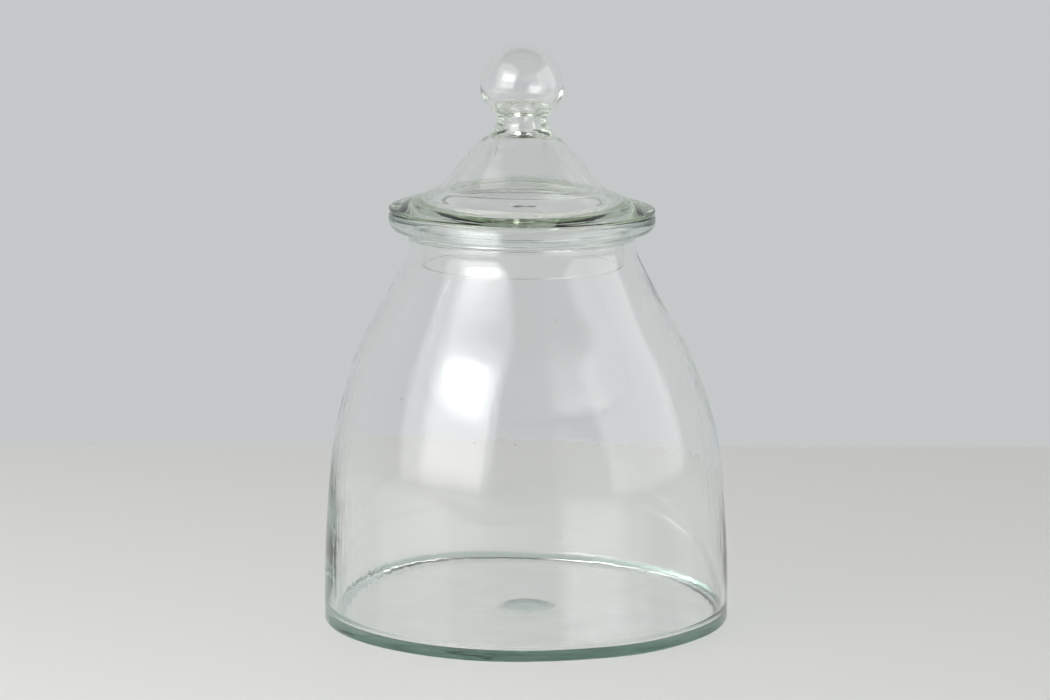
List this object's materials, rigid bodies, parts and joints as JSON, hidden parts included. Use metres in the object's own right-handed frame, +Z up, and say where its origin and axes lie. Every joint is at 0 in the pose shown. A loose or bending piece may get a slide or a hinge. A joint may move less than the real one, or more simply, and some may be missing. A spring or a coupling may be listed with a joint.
{
  "type": "lidded glass bell jar",
  "caption": "Hand-blown bell-shaped glass jar with a flanged mouth and a loose domed lid with a hollow ball knob.",
  "frame": {"origin": "centre of the jar's underside, on the surface it stands on", "axes": "+Z up along the common axis of the jar and the lid; the shape is the same all round"},
  "size_m": [0.2036, 0.2036, 0.29],
  "materials": {
    "jar_glass": "clear hand-blown glass with a faint green tint, fire polished",
    "lid_glass": "clear hand-blown glass with a faint green tint, fire polished"
  },
  "bodies": {
    "jar": {"jar_base": "jar_glass", "jar_wall": "jar_glass", "jar_rim": "jar_glass"},
    "lid": {"lid_brim": "lid_glass", "lid_skirt": "lid_glass", "lid_dome": "lid_glass", "knob_neck": "lid_glass", "knob_ball": "lid_glass"}
  },
  "joints": [
    {"name": "lid_lift", "type": "slide", "parent": "jar", "child": "lid", "axis": [0, 0, 1], "range_m": [0, 0.15]}
  ]
}
